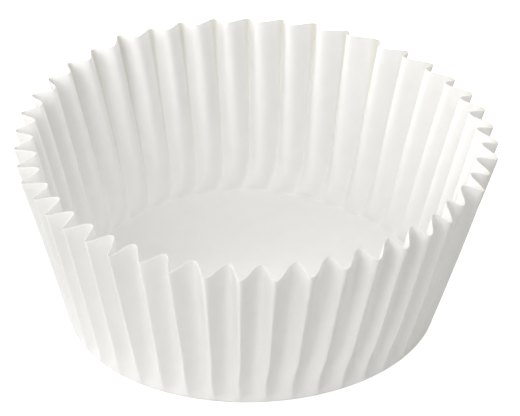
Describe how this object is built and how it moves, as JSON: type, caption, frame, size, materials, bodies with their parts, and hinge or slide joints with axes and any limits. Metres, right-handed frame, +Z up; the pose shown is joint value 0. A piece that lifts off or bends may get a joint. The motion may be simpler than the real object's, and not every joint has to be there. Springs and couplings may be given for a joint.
{
  "type": "cupcake liner",
  "caption": "Round pleated paper cup with a flat floor, flared fluted wall and toothed rim, to hold cake batter in a muffin tin while it bakes.",
  "frame": {"origin": "middle of the underside of the floor, in the plane it rests on", "axes": "+Z up through the open mouth; X and Y across the round floor, with -Y towards the front of the picture"},
  "size_m": [0.0736, 0.0737, 0.0285],
  "materials": {
    "paper": "matte, slightly translucent"
  },
  "bodies": {
    "root": {"liner": "paper"}
  },
  "joints": []
}
